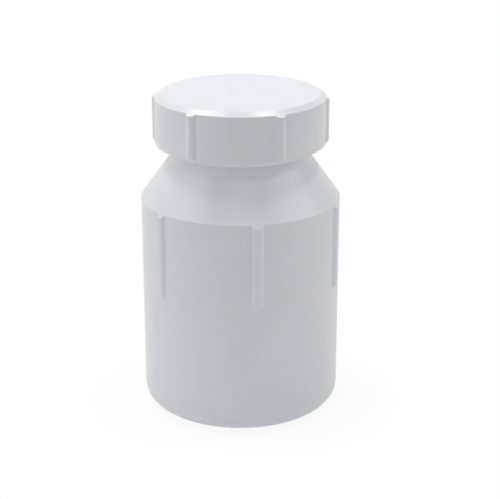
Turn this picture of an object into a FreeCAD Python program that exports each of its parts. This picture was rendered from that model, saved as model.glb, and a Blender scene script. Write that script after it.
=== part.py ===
"""Wide-mouth reagent bottle of thick white fluoropolymer, closed by a ribbed screw cap.

Three pieces come apart on a bench: the bottle, the cap, and the sealing disc that lies under the cap's
roof and shuts the mouth. Millimetres, +Z up, origin on the axis at the foot of the bottle, front at -Y.
"""

import FreeCAD, Part
import math
import os

# Bottle: outside
body_diameter = 70.0
shoulder_height = 76.6          # foot to the edge where the wall turns in
shoulder_rise = 14.0            # height of the conical shoulder
neck_diameter = 49.8            # plain collar under the thread, and the crests of the thread
neck_height = 16.3              # end of the shoulder to the mouth
base_edge_radius = 6.1

# Bottle: walls and inside
body_wall = 3.5
base_thickness = 5.0
neck_wall = 3.4                 # measured behind the thread
floor_corner_chamfer = 2.5
foot_width = 6.0                # ring that the bottle stands on
foot_hollow = 1.2               # depth of the recess inside that ring
lip_outer_chamfer = 0.8
lip_inner_chamfer = 0.6

# Thread zone between neck and cap
thread_depth = 1.5              # crest to root, the same on both pieces
thread_clearance = 0.4          # crest of either piece to the root of the other
collar_top_above_rim = 0.3      # the plain collar ends just inside the cap

# Screw cap
cap_wall = 4.45                 # outside to the root of the thread
cap_roof = 4.5
neck_strip = 3.75               # height of neck that shows between shoulder and cap
top_chamfer_width = 2.1
top_chamfer_height = 1.4
rim_land = 1.15                 # flat ring left at the cap's lower edge
rim_lead_in = 0.7               # chamfer inside the rim
rim_chamfer_height = 1.8
cap_rest_turn = 17.0            # degrees the closed cap's ribs stand past the bottle's

# Sealing disc
disc_thickness = 2.0
disc_clearance = 0.4            # round the disc, inside the cap
disc_edge_chamfer = 0.4
plug_depth = 3.0                # how far the sealing lip reaches into the mouth
plug_clearance = 0.2
plug_wall = 1.6
plug_taper = 0.5

# Grip ribs, alike on bottle and cap
rib_count = 6
rib_width = 4.0
rib_height = 1.0
body_rib_length = 30.5          # shoulder edge to the foot of the rib
rib_end_rounding = 1.2          # fillet that ends a bottle rib at its foot

# Heights and radii that follow
body_radius = body_diameter / 2
collar_radius = neck_diameter / 2
thread_root_radius = collar_radius - thread_depth
mouth_radius = thread_root_radius - neck_wall
neck_base = shoulder_height + shoulder_rise
mouth_height = neck_base + neck_height
cap_rim = neck_base + neck_strip
collar_top = cap_rim + collar_top_above_rim
roof_underside = mouth_height + disc_thickness
cap_top = roof_underside + cap_roof
cap_bore_radius = collar_radius + thread_clearance
cap_radius = cap_bore_radius + cap_wall
rim_chamfer_width = cap_wall - rim_lead_in - rim_land
disc_radius = cap_bore_radius - disc_clearance
plug_radius = mouth_radius - plug_clearance
shoulder_slope = shoulder_rise / (body_radius - collar_radius)

FRONT = -90.0                   # degrees about +Z of the bottle's first rib
AXIS = FreeCAD.Vector(0, 0, 1)


def point(radius, height):
    """A point of a turned profile, drawn in the XZ plane."""
    return FreeCAD.Vector(radius, 0, height)


def rounded_wire(corners):
    """Closed outline through (radius, height, rounding) corners, each rounded by an arc tangent to its sides."""
    places = [point(radius, height) for radius, height, _ in corners]
    runs = []
    for i, (_, _, rounding) in enumerate(corners):
        here = places[i]
        to_last = (places[i - 1] - here).normalize()
        to_next = (places[(i + 1) % len(places)] - here).normalize()
        if rounding == 0:
            runs.append((here, None, here))
            continue
        half_angle = to_last.getAngle(to_next) / 2
        setback = rounding / math.tan(half_angle)
        middle = (to_last + to_next).normalize()
        crown = here + middle * (rounding / math.sin(half_angle) - rounding)
        runs.append((here + to_last * setback, crown, here + to_next * setback))
    edges = []
    for i, (start, crown, end) in enumerate(runs):
        if crown is not None:
            edges.append(Part.Arc(start, crown, end).toShape())
        following = runs[(i + 1) % len(runs)][0]
        edges.append(Part.LineSegment(end, following).toShape())
    return Part.Wire(edges)


def turned(wire):
    """Solid of revolution of a closed profile about the bottle's axis."""
    return Part.Face(wire).revolve(FreeCAD.Vector(), AXIS, 360)


def grip_ribs(wall_radius, wall, low, high, low_slope, high_slope, low_rounding, first_angle):
    """Half-round ribs on a round wall, between cones that pass through the wall at the heights low and high."""
    foot = math.sqrt(wall_radius**2 - (rib_width / 2) ** 2)
    crown = wall_radius + rib_height - foot
    round_radius = ((rib_width / 2) ** 2 + crown**2) / (2 * crown)
    root_radius = wall_radius - wall / 2
    reach = 2 * rib_height
    band = turned(rounded_wire([
        (root_radius, low, 0),
        (wall_radius, low, 0),
        (wall_radius + reach, low + reach * low_slope, 0),
        (wall_radius + reach, high - reach * high_slope, 0),
        (wall_radius, high, 0),
        (root_radius, high, 0),
    ]))
    bar_axis = FreeCAD.Vector(wall_radius + rib_height - round_radius, 0, low)
    bar = Part.makeCylinder(round_radius, high - low, bar_axis, AXIS)
    if low_rounding > 0:
        rim = min(bar.Edges, key=lambda edge: edge.BoundBox.ZMax)
        bar = bar.makeFillet(low_rounding, [rim])
    bar = bar.common(band)
    ribs = []
    for i in range(rib_count):
        rib = bar.copy()
        rib.rotate(FreeCAD.Vector(), AXIS, first_angle + i * 360 / rib_count)
        ribs.append(rib)
    return ribs


def bottle():
    """One-piece bottle: recessed foot, straight wall, conical shoulder, collar and open neck."""
    foot_inside = body_radius - base_edge_radius - foot_width
    slant = math.hypot(1, shoulder_slope) / shoulder_slope
    inner_offset = body_wall * slant
    cavity_radius = body_radius - body_wall
    inner_shoulder = shoulder_height + (body_wall - inner_offset) * shoulder_slope
    inner_neck = shoulder_height + (body_radius - inner_offset - mouth_radius) * shoulder_slope
    shell = turned(rounded_wire([
        (0, foot_hollow, 0),
        (foot_inside - foot_hollow, foot_hollow, 0),
        (foot_inside, 0, 0),
        (body_radius, 0, base_edge_radius),
        (body_radius, shoulder_height, 0),
        (collar_radius, neck_base, 0),
        (collar_radius, collar_top, 0),
        (thread_root_radius, collar_top + thread_depth, 0),
        (thread_root_radius, mouth_height - lip_outer_chamfer, 0),
        (thread_root_radius - lip_outer_chamfer, mouth_height, 0),
        (mouth_radius + lip_inner_chamfer, mouth_height, 0),
        (mouth_radius, mouth_height - lip_inner_chamfer, 0),
        (mouth_radius, inner_neck, 0),
        (cavity_radius, inner_shoulder, 0),
        (cavity_radius, base_thickness + floor_corner_chamfer, 0),
        (cavity_radius - floor_corner_chamfer, base_thickness, 0),
        (0, base_thickness, 0),
    ]))
    ribs = grip_ribs(
        body_radius, body_wall, shoulder_height - body_rib_length, shoulder_height,
        0, shoulder_slope, rib_end_rounding, FRONT,
    )
    return shell.fuse(ribs).removeSplitter()


def screw_cap():
    """Cap with a flat roof, chamfered edges, grip ribs and a plain bore at the root of its thread."""
    shell = turned(rounded_wire([
        (0, cap_top, 0),
        (cap_radius - top_chamfer_width, cap_top, 0),
        (cap_radius, cap_top - top_chamfer_height, 0),
        (cap_radius, cap_rim + rim_chamfer_height, 0),
        (cap_radius - rim_chamfer_width, cap_rim, 0),
        (cap_bore_radius + rim_lead_in, cap_rim, 0),
        (cap_bore_radius, cap_rim + rim_lead_in, 0),
        (cap_bore_radius, roof_underside, 0),
        (0, roof_underside, 0),
    ]))
    ribs = grip_ribs(
        cap_radius, cap_wall, cap_rim + rim_chamfer_height, cap_top - top_chamfer_height,
        rim_chamfer_height / rim_chamfer_width, top_chamfer_height / top_chamfer_width,
        0, FRONT + cap_rest_turn,
    )
    return shell.fuse(ribs).removeSplitter()


def sealing_disc():
    """Disc that lies between the cap's roof and the mouth, with a hollow tapered lip that plugs the mouth."""
    plug_inside = plug_radius - plug_wall
    return turned(rounded_wire([
        (0, roof_underside, 0),
        (disc_radius - disc_edge_chamfer, roof_underside, 0),
        (disc_radius, roof_underside - disc_edge_chamfer, 0),
        (disc_radius, mouth_height, 0),
        (plug_radius, mouth_height, 0),
        (plug_radius - plug_taper, mouth_height - plug_depth, 0),
        (plug_inside, mouth_height - plug_depth, 0),
        (plug_inside, mouth_height, 0),
        (0, mouth_height, 0),
    ]))


def main():
    os.makedirs("parts", exist_ok=True)
    pieces = {"bottle": bottle(), "screw_cap": screw_cap(), "sealing_disc": sealing_disc()}
    for name, shape in pieces.items():
        shape.exportStep(f"parts/{name}.step")
        print(f"{name}: {len(shape.Solids)} solid, {shape.Volume / 1000:.1f} cm3, valid {shape.isValid()}")


main()
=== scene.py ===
"""Looks of a thick-walled white reagent bottle with a ribbed screw cap.

The bottle, the cap and the sealing disc are each turned from an outline by one Geometry Nodes tree, which
also raises the half-round grip ribs and the screw threads. All three wear a waxy white fluoropolymer.
Metres, +Z up, in the frame of the solids; a grip rib of the bottle faces -Y.
"""

import logging
import math
from dataclasses import dataclass, replace
from enum import Enum
from typing import Any, Optional, Union

import bpy
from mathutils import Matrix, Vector


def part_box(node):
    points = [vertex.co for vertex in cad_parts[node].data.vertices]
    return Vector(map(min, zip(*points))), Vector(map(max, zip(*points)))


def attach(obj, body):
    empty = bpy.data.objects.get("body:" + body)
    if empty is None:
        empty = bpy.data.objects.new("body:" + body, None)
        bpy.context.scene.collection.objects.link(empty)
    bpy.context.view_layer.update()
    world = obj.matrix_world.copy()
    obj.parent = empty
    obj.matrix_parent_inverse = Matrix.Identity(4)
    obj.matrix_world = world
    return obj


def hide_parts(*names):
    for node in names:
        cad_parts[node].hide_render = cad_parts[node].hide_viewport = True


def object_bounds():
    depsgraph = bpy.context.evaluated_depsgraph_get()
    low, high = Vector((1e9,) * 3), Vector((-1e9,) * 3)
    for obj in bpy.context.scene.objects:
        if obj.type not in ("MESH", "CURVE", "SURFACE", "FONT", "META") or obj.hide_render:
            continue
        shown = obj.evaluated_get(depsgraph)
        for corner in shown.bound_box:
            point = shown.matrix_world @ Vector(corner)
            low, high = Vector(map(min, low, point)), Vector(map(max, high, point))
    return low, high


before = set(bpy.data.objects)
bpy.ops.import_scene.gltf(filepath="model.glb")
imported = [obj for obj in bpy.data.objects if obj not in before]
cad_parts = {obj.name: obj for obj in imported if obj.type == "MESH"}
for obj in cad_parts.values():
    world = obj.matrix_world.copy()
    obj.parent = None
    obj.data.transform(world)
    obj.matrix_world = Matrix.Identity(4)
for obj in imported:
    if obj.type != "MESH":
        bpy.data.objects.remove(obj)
CAD_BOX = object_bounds()

MM = 0.001
ARC_STEP = math.radians(15)  # most that one step of a rounding turns by
HOLD = 0.08 * MM  # from a rounding to the row beside it, which keeps the wall there flat
THREAD_ROWS = 56  # rows along a threaded wall
CREASE_ANGLE = math.radians(28)  # edges that bend more stay crisp
MERGE_DISTANCE = 0.002 * MM

log = logging.getLogger("reagent_bottle")

Socket = bpy.types.NodeSocket
Colour = tuple[float, float, float, float]
Feed = Union[float, bool, str, tuple[float, ...], bpy.types.NodeSocket, bpy.types.Material]
Feeds = dict[Union[str, int], Feed]


def grey(level: float) -> Colour:
    """An opaque grey, from 0 for black to 1 for white."""
    return (level, level, level, 1.0)


WHITE = grey(1.0)


class Facing(Enum):
    """Side of the wall that a thread stands on."""

    OUTWARD = 1
    INWARD = -1


class NodeSketch:
    """Adds nodes to one tree and wires them, with plain numbers or sockets as inputs."""

    def __init__(self, tree: bpy.types.NodeTree) -> None:
        """Keeps the tree that is drawn on."""
        self.tree = tree

    @classmethod
    def blank(cls, owner: Union[bpy.types.Material, bpy.types.World]) -> "NodeSketch":
        """Clears the nodes of a material or a world and starts a sketch there.

        Args:
            owner: The material or world.

        Returns:
            A sketch on its empty tree.
        """
        owner.use_nodes = True
        owner.node_tree.nodes.clear()
        return cls(owner.node_tree)

    def add(self, kind: str, feeds: Optional[Feeds] = None, **settings: Any) -> bpy.types.Node:
        """Adds one node.

        Args:
            kind: Blender's name of the node type.
            feeds: Input names or indexes with the number, colour or socket that each takes.
            settings: Properties of the node itself.

        Returns:
            The new node.
        """
        node = self.tree.nodes.new(kind)
        for name, value in settings.items():
            setattr(node, name, value)
        for name, value in (feeds or {}).items():
            self.feed(node.inputs[name], value)
        return node

    def put(self, kind: str, feeds: Optional[Feeds] = None, **settings: Any) -> Socket:
        """Adds one node as add does, and gives its first output."""
        return self.add(kind, feeds, **settings).outputs[0]

    def feed(self, socket: Socket, value: Feed) -> None:
        """Links an input to another node, or sets its plain value.

        Args:
            socket: The input.
            value: The socket to link it to, or the value to set.
        """
        if isinstance(value, bpy.types.NodeSocket):
            self.tree.links.new(value, socket)
        else:
            socket.default_value = value

    def math(self, operation: str, first: Feed, second: Feed = 0.0) -> Socket:
        """Adds a Math node.

        Args:
            operation: The node's operation, such as MULTIPLY.
            first: Number or socket for the first input.
            second: Number or socket for the second input.

        Returns:
            The node's result.
        """
        return self.put("ShaderNodeMath", {0: first, 1: second}, operation=operation)

    def length(self, first: Feed, second: Feed) -> Socket:
        """The long side of a right triangle with these two legs."""
        squares = self.math("POWER", first, 2.0), self.math("POWER", second, 2.0)
        return self.math("SQRT", self.math("ADD", *squares))

    def leg(self, long_side: Feed, other: Feed) -> Socket:
        """The second leg of a right triangle with this long side and other leg."""
        square = self.math("SUBTRACT", self.math("POWER", long_side, 2.0), self.math("POWER", other, 2.0))
        return self.math("SQRT", self.math("MAXIMUM", square, 0.0))

    def smooth(self, value: Feed, low: Feed, high: Feed) -> Socket:
        """Adds a smooth step.

        Args:
            value: What is compared.
            low: Value at which the step is 0.
            high: Value at which the step is 1.

        Returns:
            The step, from 0 to 1.
        """
        feeds = {"Value": value, "From Min": low, "From Max": high}
        return self.put("ShaderNodeMapRange", feeds, interpolation_type="SMOOTHSTEP")


@dataclass(frozen=True)
class Corner:
    """One corner of a turned outline.

    A lifted corner moves out with the grip rib, and rises by run for each unit that it moves out. A tucked
    corner lies on the rounded foot of the rib: 0 where the rounding starts, 1 where it meets the wall. A
    threaded corner is followed by a wall that carries the thread.
    """

    radius: float
    height: float
    rounding: float = 0.0
    lift: float = 0.0
    run: float = 0.0
    tuck: float = 0.0
    threaded: float = 0.0

    def place(self) -> Vector:
        """Where the corner lies, as radius and height."""
        return Vector((self.radius, self.height))

    def moved(self, place: Vector, threaded: float = 0.0) -> "Corner":
        """The same corner at another place of the outline, with no rounding of its own."""
        return replace(self, radius=place.x, height=place.y, rounding=0.0, threaded=threaded)


@dataclass(frozen=True)
class GripRibs:
    """Half-round ribs, evenly spaced round a wall.

    The mesh has this many columns across a rib, and wall_columns from there to the next rib.
    """

    count: int
    width: float
    height: float
    first_angle: float
    foot_rounding: float = 0.0
    columns: int = 14
    wall_columns: int = 22

    def bar_radius(self, wall_radius: float) -> float:
        """Radius of the round bar that shows as a rib of this width and height on the wall."""
        crown = wall_radius + self.height - math.sqrt(wall_radius**2 - (self.width / 2) ** 2)
        return ((self.width / 2) ** 2 + crown**2) / (2 * crown)

    def inputs(self, wall_radius: float) -> dict[str, Feed]:
        """Sizes of the ribs for the turning tree.

        Args:
            wall_radius: Radius of the wall that the ribs stand on.

        Returns:
            Values by the name of the tree's input.
        """
        bar = self.bar_radius(wall_radius)
        return {
            "Rib Count": self.count,
            "Rib Columns": self.columns,
            "Wall Columns": self.wall_columns,
            "First Rib Angle": self.first_angle,
            "Wall Radius": wall_radius,
            "Bar Radius": bar,
            "Bar Centre": wall_radius + self.height - bar,
            "Bar Half Angle": math.asin(self.width / 2 / bar),
            "Foot Angle": math.asin(self.width / 2 / wall_radius),
            "Foot Rounding": self.foot_rounding,
        }


@dataclass(frozen=True)
class ScrewThread:
    """Rounded right-hand ridge that climbs a wall.

    Foot and crest are the ridge's widths, start is the height that it begins at, and it fades in and out over
    run_out of a turn.
    """

    pitch: float
    depth: float
    foot: float
    crest: float
    start: float
    turns: float
    start_angle: float
    facing: Facing
    run_out: float = 0.14

    def inputs(self) -> dict[str, Feed]:
        """Sizes of the thread for the turning tree.

        Returns:
            Values by the name of the tree's input.
        """
        return {
            "Thread Pitch": self.pitch,
            "Thread Depth": self.depth * self.facing.value,
            "Thread Foot": self.foot,
            "Thread Crest": self.crest,
            "Thread Start": self.start,
            "Thread Turns": self.turns,
            "Thread Start Angle": self.start_angle,
            "Thread Run Out": self.run_out,
        }


def rounded(before: Corner, corner: Corner, after: Corner) -> list[Corner]:
    """Works out the points of a rounded corner.

    Args:
        before: The corner that the outline comes from.
        corner: The corner that is rounded.
        after: The corner that the outline goes on to.

    Returns:
        The points of the arc, with one more on the wall at each end of it.
    """
    here = corner.place()
    back = (before.place() - here).normalized()
    ahead = (after.place() - here).normalized()
    half = back.angle(ahead) / 2
    setback = corner.rounding / math.tan(half)
    centre = here + (back + ahead).normalized() * corner.rounding / math.sin(half)
    spoke = (here + back * setback - centre).normalized()
    last_spoke = (here + ahead * setback - centre).normalized()
    steps = max(2, math.ceil((math.pi - 2 * half) / ARC_STEP))
    arc = (centre + spoke.slerp(last_spoke, s / steps) * corner.rounding for s in range(steps + 1))
    places = [here + back * (setback + HOLD), *arc, here + ahead * (setback + HOLD)]
    return [corner.moved(place) for place in places]


def traced(corners: list[Corner]) -> list[Corner]:
    """Works out the points of an outline: arcs at its rounded corners and fine rows along its thread.

    Args:
        corners: The outline's corners, from the axis round to the axis.

    Returns:
        The outline's points, as corners with no rounding.
    """
    points: list[Corner] = []
    for i, corner in enumerate(corners):
        here = corner.place()
        if corner.rounding == 0.0:
            points.append(corner.moved(here))
        else:
            points.extend(rounded(corners[i - 1], corner, corners[i + 1]))
        if corner.threaded:
            end = corners[i + 1].place()
            rows = (here.lerp(end, row / THREAD_ROWS) for row in range(1, THREAD_ROWS))
            points.extend(corner.moved(place, corner.threaded) for place in rows)
    return points


class TurningTree:
    """Geometry Nodes tree that turns an outline round the axis and raises its ribs and thread."""

    COUNTS = ("Rib Count", "Rib Columns", "Wall Columns")
    SIZES = (
        "First Rib Angle", "Wall Radius", "Bar Radius", "Bar Centre", "Bar Half Angle", "Foot Angle",
        "Foot Rounding", "Thread Pitch", "Thread Depth", "Thread Foot", "Thread Crest", "Thread Start",
        "Thread Turns", "Thread Start Angle", "Thread Run Out",
    )

    def __init__(self) -> None:
        """Builds the tree once, for all the turned pieces."""
        self.tree = bpy.data.node_groups.new("turned_piece", "GeometryNodeTree")
        face = self.tree.interface
        face.new_socket("Outline", in_out="INPUT", socket_type="NodeSocketGeometry")
        kinds = {"NodeSocketInt": self.COUNTS, "NodeSocketFloat": self.SIZES, "NodeSocketMaterial": ("Finish",)}
        for kind, names in kinds.items():
            for name in names:
                face.new_socket(name, in_out="INPUT", socket_type=kind)
        face.new_socket("Piece", in_out="OUTPUT", socket_type="NodeSocketGeometry")
        self.sketch = NodeSketch(self.tree)
        self.sizes = self.sketch.add("NodeGroupInput").outputs
        self._draw()

    def _draw(self) -> None:
        """Draws the whole tree, from the outline to the dressed mesh."""
        sketch, sizes = self.sketch, self.sizes
        feeds = {"Geometry": sizes["Outline"]}
        rows = sketch.put("GeometryNodeAttributeDomainSize", feeds, component="MESH")
        sector = sketch.math("ADD", sizes["Rib Columns"], sizes["Wall Columns"])
        columns = sketch.math("ADD", sketch.math("MULTIPLY", sector, sizes["Rib Count"]), 1.0)
        feeds = {"Size X": 1.0, "Size Y": 1.0, "Vertices X": columns, "Vertices Y": rows}
        grid = sketch.put("GeometryNodeMeshGrid", feeds)
        where = sketch.put("GeometryNodeInputPosition")
        place = sketch.add("ShaderNodeSeparateXYZ", {0: where}).outputs
        column = self._count(place["X"], columns)
        row = self._count(place["Y"], rows)
        angle, aside = self._round_the_wall(column, sector)
        rise, drop = self._over_the_rib(aside, self._of_row(row, "tuck"))
        outline = sketch.add("ShaderNodeSeparateXYZ", {0: self._sampled(row, where, "FLOAT_VECTOR")}).outputs
        lift = sketch.math("MULTIPLY", self._of_row(row, "lift"), rise)
        run = sketch.math("MULTIPLY", self._of_row(row, "run"), rise)
        height = sketch.math("ADD", sketch.math("SUBTRACT", outline["Z"], drop), run)
        radius = sketch.math("ADD", outline["X"], lift)
        ridge = sketch.math("MULTIPLY", self._thread(angle, height), self._of_row(row, "threaded"))
        radius = sketch.math("ADD", radius, ridge)
        across = sketch.math("MULTIPLY", radius, sketch.math("COSINE", angle))
        along = sketch.math("MULTIPLY", radius, sketch.math("SINE", angle))
        target = sketch.put("ShaderNodeCombineXYZ", {"X": across, "Y": along, "Z": height})
        self._finish(sketch.put("GeometryNodeSetPosition", {"Geometry": grid, "Position": target}))

    def _count(self, share: Socket, number: Socket) -> Socket:
        """Turns a place on the unit grid into a count from 0.

        Args:
            share: Place along one side of the grid, from -0.5 to 0.5.
            number: How many points that side has.

        Returns:
            The point's number.
        """
        sketch = self.sketch
        steps = sketch.math("SUBTRACT", number, 1.0)
        return sketch.math("ROUND", sketch.math("MULTIPLY", sketch.math("ADD", share, 0.5), steps))

    def _sampled(self, row: Socket, value: Socket, kind: str) -> Socket:
        """Reads a value of the outline at a row.

        Args:
            row: The row's number.
            value: What is read.
            kind: Blender's name of the value's type.

        Returns:
            The value there.
        """
        feeds = {"Geometry": self.sizes["Outline"], "Value": value, "Index": row}
        return self.sketch.put("GeometryNodeSampleIndex", feeds, data_type=kind, domain="POINT")

    def _of_row(self, row: Socket, attribute: str) -> Socket:
        """Reads one of the outline's own named values at a row."""
        value = self.sketch.put("GeometryNodeInputNamedAttribute", {"Name": attribute}, data_type="FLOAT")
        return self._sampled(row, value, "FLOAT")

    def _round_the_wall(self, column: Socket, sector: Socket) -> tuple[Socket, Socket]:
        """Places a column: first across a rib's round bar, then along the wall to the next rib.

        Args:
            column: The column's number.
            sector: Columns from one rib to the next.

        Returns:
            The column's angle about the axis, and its angle from the middle of the rib.
        """
        sketch, sizes = self.sketch, self.sizes
        rib = sketch.math("FLOOR", sketch.math("DIVIDE", sketch.math("ADD", column, 0.5), sector))
        step = sketch.math("SUBTRACT", column, sketch.math("MULTIPLY", rib, sector))
        over_bar = sketch.math("MINIMUM", sketch.math("DIVIDE", step, sizes["Rib Columns"]), 1.0)
        swing = sketch.math("SUBTRACT", sketch.math("MULTIPLY", over_bar, 2.0), 1.0)
        swing = sketch.math("MULTIPLY", swing, sizes["Bar Half Angle"])
        out = sketch.math("MULTIPLY", sizes["Bar Radius"], sketch.math("COSINE", swing))
        out = sketch.math("ADD", out, sizes["Bar Centre"])
        side = sketch.math("MULTIPLY", sizes["Bar Radius"], sketch.math("SINE", swing))
        aside = sketch.math("ARCTAN2", side, out)
        past = sketch.math("MAXIMUM", sketch.math("SUBTRACT", step, sizes["Rib Columns"]), 0.0)
        past = sketch.math("DIVIDE", past, sizes["Wall Columns"])
        spacing = sketch.math("DIVIDE", math.tau, sizes["Rib Count"])
        bare = sketch.math("SUBTRACT", spacing, sketch.math("MULTIPLY", sizes["Foot Angle"], 2.0))
        angle = sketch.math("ADD", sizes["First Rib Angle"], sketch.math("MULTIPLY", rib, spacing))
        angle = sketch.math("ADD", angle, aside)
        angle = sketch.math("ADD", angle, sketch.math("MULTIPLY", past, bare))
        return angle, aside

    def _over_the_rib(self, aside: Socket, tuck: Socket) -> tuple[Socket, Socket]:
        """Follows the round bar out of the wall, and round the fillet at its foot.

        Args:
            aside: Angle from the middle of the rib.
            tuck: Place on the fillet, from 0 where it starts to 1 at the wall.

        Returns:
            How far the rib stands out of the wall, and how far below the fillet's start the point lies.
        """
        sketch, sizes = self.sketch, self.sizes
        ahead = sketch.math("MULTIPLY", sizes["Bar Centre"], sketch.math("COSINE", aside))
        beside = sketch.math("MULTIPLY", sizes["Bar Centre"], sketch.math("SINE", aside))
        to_wall = sketch.length(sketch.math("SUBTRACT", sizes["Wall Radius"], ahead), beside)
        shrink = sketch.math("MULTIPLY", tuck, sketch.math("SUBTRACT", sizes["Bar Radius"], to_wall))
        reach = sketch.leg(sketch.math("SUBTRACT", sizes["Bar Radius"], shrink), beside)
        rise = sketch.math("SUBTRACT", sketch.math("ADD", ahead, reach), sizes["Wall Radius"])
        rounding = sizes["Foot Rounding"]
        drop = sketch.leg(rounding, sketch.math("SUBTRACT", rounding, shrink))
        return rise, drop

    def _thread(self, angle: Socket, height: Socket) -> Socket:
        """Works out how far the thread's ridge stands out of the wall.

        Args:
            angle: Angle about the axis.
            height: Height of the point.

        Returns:
            The ridge's height there, below 0 where it stands inwards.
        """
        sketch, sizes = self.sketch, self.sizes
        turned = sketch.math("SUBTRACT", angle, sizes["Thread Start Angle"])
        turned = sketch.math("FRACT", sketch.math("DIVIDE", turned, math.tau))
        climb = sketch.math("SUBTRACT", height, sizes["Thread Start"])
        climb = sketch.math("DIVIDE", climb, sizes["Thread Pitch"])
        from_start = sketch.math("SUBTRACT", climb, turned)
        ridge = sketch.math("ROUND", from_start)
        aside = sketch.math("ABSOLUTE", sketch.math("SUBTRACT", from_start, ridge))
        aside = sketch.math("MULTIPLY", aside, sizes["Thread Pitch"])
        half_foot = sketch.math("MULTIPLY", sizes["Thread Foot"], 0.5)
        half_crest = sketch.math("MULTIPLY", sizes["Thread Crest"], 0.5)
        flank = sketch.smooth(aside, half_foot, half_crest)
        travelled = sketch.math("ADD", ridge, turned)
        left = sketch.math("SUBTRACT", sizes["Thread Turns"], travelled)
        ends = sketch.math(
            "MULTIPLY",
            sketch.smooth(travelled, 0.0, sizes["Thread Run Out"]),
            sketch.smooth(left, 0.0, sizes["Thread Run Out"]),
        )
        return sketch.math("MULTIPLY", sketch.math("MULTIPLY", flank, ends), sizes["Thread Depth"])

    def _finish(self, mesh: Socket) -> None:
        """Closes the seam and the poles, keeps true edges crisp and sets the material.

        Args:
            mesh: The turned mesh.
        """
        sketch = self.sketch
        mesh = sketch.put("GeometryNodeMergeByDistance", {"Geometry": mesh, "Distance": MERGE_DISTANCE})
        mesh = sketch.put("GeometryNodeSetShadeSmooth", {0: mesh, "Shade Smooth": True})
        bend = sketch.add("GeometryNodeInputMeshEdgeAngle").outputs["Unsigned Angle"]
        crease = sketch.math("GREATER_THAN", bend, CREASE_ANGLE)
        feeds = {0: mesh, "Selection": crease, "Shade Smooth": False}
        mesh = sketch.put("GeometryNodeSetShadeSmooth", feeds, domain="EDGE")
        mesh = sketch.put("GeometryNodeRealizeInstances", {0: mesh})
        mesh = sketch.put("GeometryNodeSetMaterial", {"Geometry": mesh, "Material": self.sizes["Finish"]})
        sketch.add("NodeGroupOutput", {"Piece": mesh})

    def turn(self, name: str, corners: list[Corner], inputs: dict[str, Feed]) -> bpy.types.Object:
        """Turns one outline into a plain mesh.

        Args:
            name: Name of the new piece.
            corners: The outline's points.
            inputs: Values by the name of the tree's input.

        Returns:
            The piece, with its place in its mesh and no modifier left.
        """
        outline = bpy.data.meshes.new(name + "_outline")
        places = [(corner.radius, 0.0, corner.height) for corner in corners]
        outline.from_pydata(places, [(i, i + 1) for i in range(len(places) - 1)], [])
        for attribute in ("lift", "run", "tuck", "threaded"):
            values = outline.attributes.new(attribute, "FLOAT", "POINT")
            values.data.foreach_set("value", [getattr(corner, attribute) for corner in corners])
        piece = bpy.data.objects.new(name, outline)
        bpy.context.scene.collection.objects.link(piece)
        modifier = piece.modifiers.new("turned", "NODES")
        modifier.node_group = self.tree
        for item in self.tree.interface.items_tree:
            if item.name in inputs:
                modifier[item.identifier] = inputs[item.name]
        depsgraph = bpy.context.evaluated_depsgraph_get()
        mesh = bpy.data.meshes.new_from_object(piece.evaluated_get(depsgraph))
        piece.modifiers.remove(modifier)
        piece.data = mesh
        mesh.name = name
        bpy.data.meshes.remove(outline)
        return piece


class SurfaceEffects:
    """Shader node groups that the finishes share."""

    CLOUD_DETAIL = 4.0
    CLOUD_ROUGHNESS = 0.6
    CLOUD_EDGES = (0.3, 0.7)
    MARK_DETAIL = 2.0

    def __init__(self) -> None:
        """Builds each group once."""
        self.cloud = self._cloud()
        self.marks = self._marks()

    @staticmethod
    def _group(name: str, size: str, output: str) -> NodeSketch:
        """Starts a group.

        Args:
            name: The group's name.
            size: Name of its one input.
            output: Name of its one output.

        Returns:
            A sketch on the group's tree.
        """
        tree = bpy.data.node_groups.new(name, "ShaderNodeTree")
        tree.interface.new_socket(size, in_out="INPUT", socket_type="NodeSocketFloat")
        tree.interface.new_socket(output, in_out="OUTPUT", socket_type="NodeSocketFloat")
        return NodeSketch(tree)

    def _cloud(self) -> bpy.types.NodeTree:
        """Draws soft milky clouds, as in pressed and sintered powder.

        Returns:
            A group that is 0 in the clear and 1 in the dense parts.
        """
        sketch = self._group("milky_cloud", "Scale", "Cloud")
        feeds = {
            "Vector": sketch.add("ShaderNodeTexCoord").outputs["Object"],
            "Scale": sketch.put("NodeGroupInput"),
            "Detail": self.CLOUD_DETAIL,
            "Roughness": self.CLOUD_ROUGHNESS,
        }
        noise = sketch.put("ShaderNodeTexNoise", feeds)
        sketch.add("NodeGroupOutput", {"Cloud": sketch.smooth(noise, *self.CLOUD_EDGES)})
        return sketch.tree

    def _marks(self) -> bpy.types.NodeTree:
        """Draws the fine rings that a turning tool leaves round the axis.

        Returns:
            A group that gives their height, from 0 to 1.
        """
        sketch = self._group("turning_marks", "Rings Per Metre", "Height")
        where = sketch.add("ShaderNodeTexCoord").outputs["Object"]
        place = sketch.add("ShaderNodeSeparateXYZ", {0: where}).outputs
        ring = {"X": sketch.length(place["X"], place["Y"]), "Y": place["Z"], "Z": 0.0}
        feeds = {
            "Vector": sketch.put("ShaderNodeCombineXYZ", ring),
            "Scale": sketch.put("NodeGroupInput"),
            "Detail": self.MARK_DETAIL,
        }
        noise = sketch.put("ShaderNodeTexNoise", feeds, noise_dimensions="2D")
        sketch.add("NodeGroupOutput", {"Height": noise})
        return sketch.tree


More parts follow.
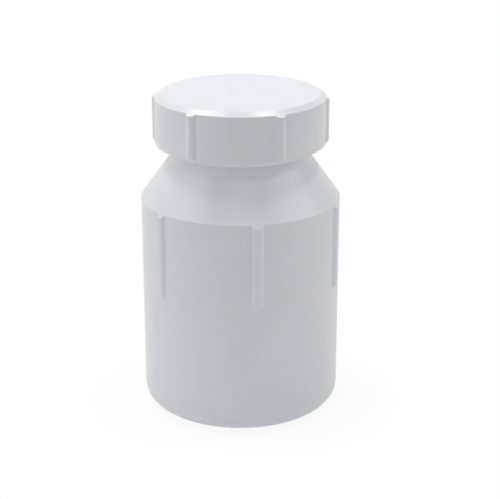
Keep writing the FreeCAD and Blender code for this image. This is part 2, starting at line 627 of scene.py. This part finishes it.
@dataclass(frozen=True)
class WaxyWhite:
    """Satin white fluoropolymer: milky, slightly translucent, with faint turning marks.

    The marks vary its roughness by gloss_spread either way. As the surface turns away from the eye, through
    grazing_range, the roughness goes on to grazing_roughness.
    """

    name: str
    clear: tuple[float, float, float]
    dense: tuple[float, float, float]
    roughness: float
    cloud_scale: float
    rings_per_metre: float
    mark_depth: float
    gloss_spread: float = 0.015
    grazing_roughness: float = 0.38
    grazing_range: tuple[float, float] = (0.55, 0.95)
    refraction: float = 1.5
    translucency: float = 0.12
    scatter: float = 1.2 * MM

    def material(self, effects: SurfaceEffects) -> bpy.types.Material:
        """Builds the material.

        Args:
            effects: The shared node groups.

        Returns:
            The new material.
        """
        material = bpy.data.materials.new(self.name)
        sketch = NodeSketch.blank(material)
        feeds = {"Rings Per Metre": self.rings_per_metre}
        height = sketch.put("ShaderNodeGroup", feeds, node_tree=effects.marks)
        feeds = {"Height": height, "Strength": 1.0, "Distance": self.mark_depth}
        shader = sketch.put("ShaderNodeBsdfPrincipled", {
            "Base Color": self._tint(sketch, effects),
            "Roughness": self._satin(sketch, height),
            "Normal": sketch.put("ShaderNodeBump", feeds),
            "IOR": self.refraction,
            "Subsurface Weight": self.translucency,
            "Subsurface Radius": (1.0, 1.0, 1.0),
            "Subsurface Scale": self.scatter,
        })
        sketch.add("ShaderNodeOutputMaterial", {"Surface": shader})
        return material

    def _tint(self, sketch: NodeSketch, effects: SurfaceEffects) -> Socket:
        """Clouds the white.

        Args:
            sketch: Sketch on the material.
            effects: The shared node groups.

        Returns:
            The colour. A Mix node takes its two colours on inputs 6 and 7 and gives one on output 2.
        """
        cloud = sketch.put("ShaderNodeGroup", {"Scale": self.cloud_scale}, node_tree=effects.cloud)
        feeds = {"Factor": cloud, 6: (*self.clear, 1.0), 7: (*self.dense, 1.0)}
        return sketch.add("ShaderNodeMix", feeds, data_type="RGBA").outputs[2]

    def _satin(self, sketch: NodeSketch, height: Socket) -> Socket:
        """Varies the gloss with the turning marks, and dulls it at grazing angles.

        Args:
            sketch: Sketch on the material.
            height: Height of the turning marks.

        Returns:
            The roughness. A Mix node takes its two numbers on inputs 2 and 3.
        """
        low, high = self.roughness - self.gloss_spread, self.roughness + self.gloss_spread
        gloss = sketch.put("ShaderNodeMapRange", {"Value": height, "To Min": low, "To Max": high})
        facing = sketch.add("ShaderNodeLayerWeight", {"Blend": 0.5}).outputs["Facing"]
        grazing = sketch.smooth(facing, *self.grazing_range)
        return sketch.put("ShaderNodeMix", {"Factor": grazing, 2: gloss, 3: self.grazing_roughness})


@dataclass
class TurnedPiece:
    """A piece turned from one outline, which stands for a solid of the frame."""

    node: str
    body: str
    slot: str
    ribs: GripRibs
    thread: ScrewThread
    edge: float = 0.25 * MM

    def outline(self) -> list[Corner]:
        """The corners, from the axis below round to the axis above, so that faces point outwards."""
        raise NotImplementedError

    def wall_radius(self) -> float:
        """Radius of the wall that carries the grip ribs."""
        raise NotImplementedError

    def build(self, tree: TurningTree, material: bpy.types.Material) -> bpy.types.Object:
        """Turns, dresses and places the piece.

        Args:
            tree: The turning tree.
            material: Finish of the piece.

        Returns:
            The finished piece, which rides on its body.
        """
        inputs = self.ribs.inputs(self.wall_radius()) | self.thread.inputs() | {"Finish": material}
        piece = tree.turn(self.node + "_turned", traced(self.outline()), inputs)
        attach(piece, self.body)
        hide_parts(self.node)
        return piece


@dataclass
class Bottle(TurnedPiece):
    """Body, shoulder and neck in one piece."""

    radius: float = 35.0 * MM
    mouth_height: float = 106.9 * MM
    shoulder_height: float = 76.6 * MM
    shoulder_rise: float = 14.0 * MM
    collar_radius: float = 24.9 * MM
    collar_top: float = 94.65 * MM
    thread_root: float = 23.4 * MM
    mouth_radius: float = 20.0 * MM
    wall: float = 3.5 * MM
    base: float = 5.0 * MM
    base_edge: float = 6.1 * MM
    foot_width: float = 6.0 * MM
    foot_hollow: float = 1.2 * MM
    floor_corner: float = 2.5 * MM
    lip_outside: float = 0.8 * MM
    lip_inside: float = 0.6 * MM
    rib_length: float = 30.5 * MM
    neck_fillet: float = 1.5 * MM
    inner_rounding: float = 6.0 * MM
    rib_foot_steps: int = 8

    def wall_radius(self) -> float:
        """Radius of the straight wall."""
        return self.radius

    def outline(self) -> list[Corner]:
        """Goes along the foot, wall, shoulder, neck, lip and inside.

        Returns:
            The corners in that order.
        """
        neck_base = self.shoulder_height + self.shoulder_rise
        slope = self.shoulder_rise / (self.radius - self.collar_radius)
        offset = self.wall * math.hypot(1.0, slope) / slope
        inner_shoulder = self.shoulder_height + (self.wall - offset) * slope
        inner_neck = self.shoulder_height + (self.radius - offset - self.mouth_radius) * slope
        rib_low = self.shoulder_height - self.rib_length + self.ribs.foot_rounding
        foot = self.radius - self.base_edge - self.foot_width
        step = self.collar_radius - self.thread_root
        turns = [math.pi / 2 * i / self.rib_foot_steps for i in range(self.rib_foot_steps + 1)]
        edge = self.edge
        return [
            Corner(0.0, self.foot_hollow),
            Corner(foot - self.foot_hollow, self.foot_hollow, edge),
            Corner(foot, 0.0, edge),
            Corner(self.radius, 0.0, self.base_edge),
            *(Corner(self.radius, rib_low, lift=1.0, tuck=1.0 - math.sin(turn)) for turn in turns),
            Corner(self.radius, self.shoulder_height, edge, 1.0, -slope),
            Corner(self.collar_radius, neck_base, self.neck_fillet),
            Corner(self.collar_radius, self.collar_top, edge),
            Corner(self.thread_root, self.collar_top + step, threaded=1.0),
            Corner(self.thread_root, self.mouth_height - self.lip_outside),
            Corner(self.thread_root - self.lip_outside, self.mouth_height, edge),
            Corner(self.mouth_radius + self.lip_inside, self.mouth_height, edge),
            Corner(self.mouth_radius, self.mouth_height - self.lip_inside, edge),
            Corner(self.mouth_radius, inner_neck, self.inner_rounding),
            Corner(self.radius - self.wall, inner_shoulder, self.inner_rounding),
            Corner(self.radius - self.wall, self.base + self.floor_corner, self.floor_corner),
            Corner(self.radius - self.wall - self.floor_corner, self.base, self.floor_corner),
            Corner(0.0, self.base),
        ]


@dataclass
class ScrewCap(TurnedPiece):
    """Ribbed cap with chamfered edges and a threaded bore."""

    top: float = 113.4 * MM
    rim: float = 94.35 * MM
    roof_underside: float = 108.9 * MM
    radius: float = 29.75 * MM
    bore_radius: float = 25.3 * MM
    top_chamfer_width: float = 2.1 * MM
    top_chamfer_height: float = 1.4 * MM
    rim_land: float = 1.15 * MM
    rim_lead_in: float = 0.7 * MM
    rim_chamfer_height: float = 1.8 * MM
    thread_relief: float = 2.0 * MM

    def wall_radius(self) -> float:
        """Radius of the cap's side."""
        return self.radius

    def outline(self) -> list[Corner]:
        """Goes along the underside of the roof, the bore, rim, side and roof.

        Returns:
            The corners in that order.
        """
        rim_width = self.radius - self.bore_radius - self.rim_lead_in - self.rim_land
        top_slope = self.top_chamfer_height / self.top_chamfer_width
        rim_slope = self.rim_chamfer_height / rim_width
        edge = self.edge
        return [
            Corner(0.0, self.roof_underside),
            Corner(self.bore_radius, self.roof_underside),
            Corner(self.bore_radius, self.roof_underside - self.thread_relief, threaded=1.0),
            Corner(self.bore_radius, self.rim + self.rim_lead_in),
            Corner(self.bore_radius + self.rim_lead_in, self.rim, edge),
            Corner(self.radius - rim_width, self.rim, edge),
            Corner(self.radius, self.rim + self.rim_chamfer_height, edge, 1.0, rim_slope),
            Corner(self.radius, self.top - self.top_chamfer_height, edge, 1.0, -top_slope),
            Corner(self.radius - self.top_chamfer_width, self.top, edge),
            Corner(0.0, self.top),
        ]


@dataclass
class SealingDisc(TurnedPiece):
    """Disc under the cap's roof, with a hollow tapered lip that plugs the mouth.

    None of its corners is lifted or threaded, so its ribs and thread only divide it into columns.
    """

    top: float = 108.9 * MM
    seat: float = 106.9 * MM
    lip_low: float = 103.9 * MM
    radius: float = 24.9 * MM
    plug_radius: float = 19.8 * MM
    plug_wall: float = 1.6 * MM
    plug_taper: float = 0.5 * MM
    edge_chamfer: float = 0.4 * MM

    def wall_radius(self) -> float:
        """Radius of the disc's edge, which carries no ribs."""
        return self.radius

    def outline(self) -> list[Corner]:
        """Goes along the lip, seat, edge and upper face.

        Returns:
            The corners in that order.
        """
        inside = self.plug_radius - self.plug_wall
        edge = self.edge
        return [
            Corner(0.0, self.seat),
            Corner(inside, self.seat),
            Corner(inside, self.lip_low, edge),
            Corner(self.plug_radius - self.plug_taper, self.lip_low, edge),
            Corner(self.plug_radius, self.seat),
            Corner(self.radius, self.seat, edge),
            Corner(self.radius, self.top - self.edge_chamfer),
            Corner(self.radius - self.edge_chamfer, self.top),
            Corner(0.0, self.top),
        ]


@dataclass(frozen=True)
class Softbox:
    """Square studio lamp aimed at the bottle.

    Its azimuth counts from the camera's side, to the right, and its elevation from the floor, in degrees.
    """

    name: str
    azimuth: float
    elevation: float
    size: float
    power: float

    def build(self, target: Vector, camera_turn: float, distance: float) -> bpy.types.Object:
        """Makes the lamp.

        Args:
            target: Point that it is aimed at.
            camera_turn: Angle of the camera's side about the axis.
            distance: From the target to the lamp.

        Returns:
            The lamp's object.
        """
        lamp = bpy.data.lights.new(self.name, "AREA")
        lamp.shape = "SQUARE"
        lamp.size = self.size
        lamp.energy = self.power
        turn, tilt = math.radians(self.azimuth) + camera_turn, math.radians(self.elevation)
        level = math.cos(tilt)
        away = Vector((math.sin(turn) * level, -math.cos(turn) * level, math.sin(tilt)))
        box = bpy.data.objects.new(self.name, lamp)
        box.location = target + away * distance
        box.rotation_mode = "QUATERNION"
        box.rotation_quaternion = away.to_track_quat("Z", "Y")
        bpy.context.scene.collection.objects.link(box)
        return box


@dataclass
class Studio:
    """White floor, soft lamps and the camera at the photograph's viewing angle.

    Near the bottle the floor shows its shadow: shadow_share is how strongly the lamps show there, shadow_glow
    what shows without them, and shadow_fade the radii between which the floor turns plain white. The bounce is
    a patch of floor in front of the axis that lights the bottle's lower edge.
    """

    camera_turn: float = math.radians(-9.4)
    camera_distance: float = 472.7 * MM
    camera_height: float = 227.0 * MM
    camera_pitch: float = math.radians(19.922)
    camera_yaw: float = 0.00701
    focal_pixels: float = 1403.2
    image_width: float = 500.0
    sensor_width: float = 36.0
    clip: tuple[float, float] = (0.01, 50.0)
    lamp_distance: float = 1.2
    floor_size: float = 1.3
    paper_grey: float = 0.9
    shadow_share: float = 0.14
    shadow_glow: float = 0.874
    shadow_fade: tuple[float, float] = (37.0 * MM, 64.0 * MM)
    bounce_place: float = 22.0 * MM
    bounce_glow: float = 0.09
    bounce_fade: tuple[float, float] = (20.0 * MM, 14.0 * MM)
    softboxes: tuple[Softbox, ...] = (
        Softbox("left_key", -121.0, 66.0, 0.46, 4.35),
        Softbox("right_key", 120.0, 72.5, 0.23, 2.5),
        Softbox("left_fill", -78.0, 40.0, 0.8, 2.9),
        Softbox("right_fill", 80.0, 43.0, 0.8, 2.95),
        Softbox("left_front_fill", -40.0, 15.0, 0.8, 1.5),
        Softbox("front_fill", 0.0, 45.0, 0.8, 1.75),
        Softbox("left_low_fill", -115.0, 15.0, 0.8, 1.05),
        Softbox("right_low_fill", 88.0, 15.0, 0.8, 1.97),
        Softbox("left_back_light", -140.0, 40.0, 0.8, 0.55),
        Softbox("back_light", 180.0, 76.0, 0.7, 0.9),
    )

    def build(self) -> None:
        """Makes the camera, the lamps, the surroundings and the floor."""
        bpy.context.scene.view_settings.view_transform = "Standard"
        self._camera()
        low, high = CAD_BOX
        for softbox in self.softboxes:
            softbox.build((low + high) / 2, self.camera_turn, self.lamp_distance)
        self._surroundings()
        self._floor()

    def _camera(self) -> None:
        """Places the camera where the photograph was taken from."""
        camera = bpy.data.cameras.new("camera")
        camera.sensor_width = self.sensor_width
        camera.lens = self.focal_pixels / self.image_width * self.sensor_width
        camera.clip_start, camera.clip_end = self.clip
        stand = bpy.data.objects.new("camera", camera)
        turn = self.camera_turn
        stand.location = (
            self.camera_distance * math.sin(turn), -self.camera_distance * math.cos(turn), self.camera_height
        )
        stand.rotation_euler = (math.pi / 2 - self.camera_pitch, 0.0, turn - self.camera_yaw)
        bpy.context.scene.collection.objects.link(stand)
        bpy.context.scene.camera = stand

    @staticmethod
    def _seen(sketch: NodeSketch) -> Socket:
        """Tells what is seen from what gives light.

        Args:
            sketch: Sketch on a material or the world.

        Returns:
            1 for what the camera sees, straight or in a reflection, and 0 for light on the object.
        """
        path = sketch.add("ShaderNodeLightPath").outputs
        seen = sketch.math("MAXIMUM", path["Is Camera Ray"], path["Is Glossy Ray"])
        return sketch.math("MAXIMUM", seen, path["Is Transmission Ray"])

    def _surroundings(self) -> None:
        """White to the camera, with no light on the object."""
        world = bpy.data.worlds.new("white_room")
        bpy.context.scene.world = world
        sketch = NodeSketch.blank(world)
        white = sketch.put("ShaderNodeBackground", {"Color": WHITE, "Strength": self._seen(sketch)})
        sketch.add("ShaderNodeOutputWorld", {"Surface": white})

    def _floor(self) -> None:
        """Lays white paper under the bottle."""
        half = self.floor_size / 2
        corners = [(-half, -half, 0), (half, -half, 0), (half, half, 0), (-half, half, 0)]
        mesh = bpy.data.meshes.new("floor")
        mesh.from_pydata(corners, [], [(0, 1, 2, 3)])
        floor = bpy.data.objects.new("floor", mesh)
        bpy.context.scene.collection.objects.link(floor)
        mesh.materials.append(self._paper())

    def _paper(self) -> bpy.types.Material:
        """Makes paper that is white to the camera, keeps the bottle's soft shadow and throws light back at it.

        Returns:
            The floor's material.
        """
        material = bpy.data.materials.new("white_paper")
        sketch = NodeSketch.blank(material)
        where = sketch.add("ShaderNodeTexCoord").outputs["Object"]
        place = sketch.add("ShaderNodeSeparateXYZ", {0: where}).outputs
        shadow = sketch.put("ShaderNodeBsdfDiffuse", {"Color": grey(self.shadow_share)})
        glow = sketch.put("ShaderNodeEmission", {"Color": WHITE, "Strength": self.shadow_glow})
        near = sketch.put("ShaderNodeAddShader", {0: shadow, 1: glow})
        white = sketch.put("ShaderNodeEmission", {"Color": WHITE, "Strength": 1.0})
        away = sketch.smooth(sketch.length(place["X"], place["Y"]), *self.shadow_fade)
        shown = sketch.put("ShaderNodeMixShader", {0: away, 1: near, 2: white})
        across = sketch.math("SUBTRACT", place["X"], self.bounce_place * math.sin(self.camera_turn))
        along = sketch.math("ADD", place["Y"], self.bounce_place * math.cos(self.camera_turn))
        bright = sketch.smooth(sketch.length(across, along), *self.bounce_fade)
        strength = sketch.math("MULTIPLY", bright, self.bounce_glow)
        bounce = sketch.put("ShaderNodeEmission", {"Color": WHITE, "Strength": strength})
        paper = sketch.put("ShaderNodeBsdfDiffuse", {"Color": grey(self.paper_grey)})
        thrown = sketch.put("ShaderNodeAddShader", {0: paper, 1: bounce})
        surface = sketch.put("ShaderNodeMixShader", {0: self._seen(sketch), 1: thrown, 2: shown})
        sketch.add("ShaderNodeOutputMaterial", {"Surface": surface})
        return material


def pieces() -> list[tuple[TurnedPiece, WaxyWhite]]:
    """Sizes each piece from the frame.

    Returns:
        The pieces of the bottle, each with its finish.
    """
    boxes = map(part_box, ("bottle", "screw_cap", "sealing_disc"))
    (_, bottle_high), (cap_low, cap_high), (disc_low, disc_high) = boxes
    ribs = GripRibs(
        count=6, width=4.0 * MM, height=bottle_high.y - bottle_high.x, first_angle=-math.pi / 2,
        foot_rounding=1.2 * MM,
    )
    cap_rest_turn = math.radians(17.0)
    cap_ribs = replace(ribs, first_angle=ribs.first_angle + cap_rest_turn, foot_rounding=0.0)
    neck_thread = ScrewThread(
        pitch=4.0 * MM, depth=1.5 * MM, foot=2.6 * MM, crest=0.8 * MM,
        start=97.2 * MM, turns=1.85, start_angle=0.0, facing=Facing.OUTWARD,
    )
    under_neck_thread = 1.7 * MM
    cap_start = 96.4 * MM
    cap_angle = (cap_start + under_neck_thread - neck_thread.start) / neck_thread.pitch * math.tau
    cap_thread = replace(
        neck_thread, start=cap_start, turns=2.1, start_angle=cap_angle, facing=Facing.INWARD
    )
    white = WaxyWhite(
        "waxy_white_bottle", clear=(0.81, 0.845, 0.885), dense=(0.83, 0.86, 0.90), roughness=0.292,
        cloud_scale=90.0, rings_per_metre=6000.0, mark_depth=0.0012 * MM,
    )
    cap_white = replace(white, name="waxy_white_cap")
    disc_white = replace(
        white, name="waxy_white_disc", clear=(0.83, 0.86, 0.88), dense=(0.85, 0.875, 0.89), cloud_scale=60.0
    )
    bottle = Bottle("bottle", "bottle", "bottle_white", ribs, neck_thread, mouth_height=bottle_high.z)
    cap = ScrewCap(
        "screw_cap", "cap", "cap_white", cap_ribs, cap_thread,
        top=cap_high.z, rim=cap_low.z, roof_underside=disc_high.z,
    )
    disc = SealingDisc(
        "sealing_disc", "disc", "disc_white", ribs, cap_thread,
        top=disc_high.z, seat=bottle_high.z, lip_low=disc_low.z,
    )
    return [(bottle, white), (cap, cap_white), (disc, disc_white)]


def main() -> None:
    """Builds the pieces in order, then the studio."""
    logging.basicConfig(level=logging.INFO)
    effects = SurfaceEffects()
    tree = TurningTree()
    for part, finish in pieces():
        piece = part.build(tree, finish.material(effects))
        log.info("%s: %d faces", piece.name, len(piece.data.polygons))
    Studio().build()


if __name__ == "__main__":
    main()
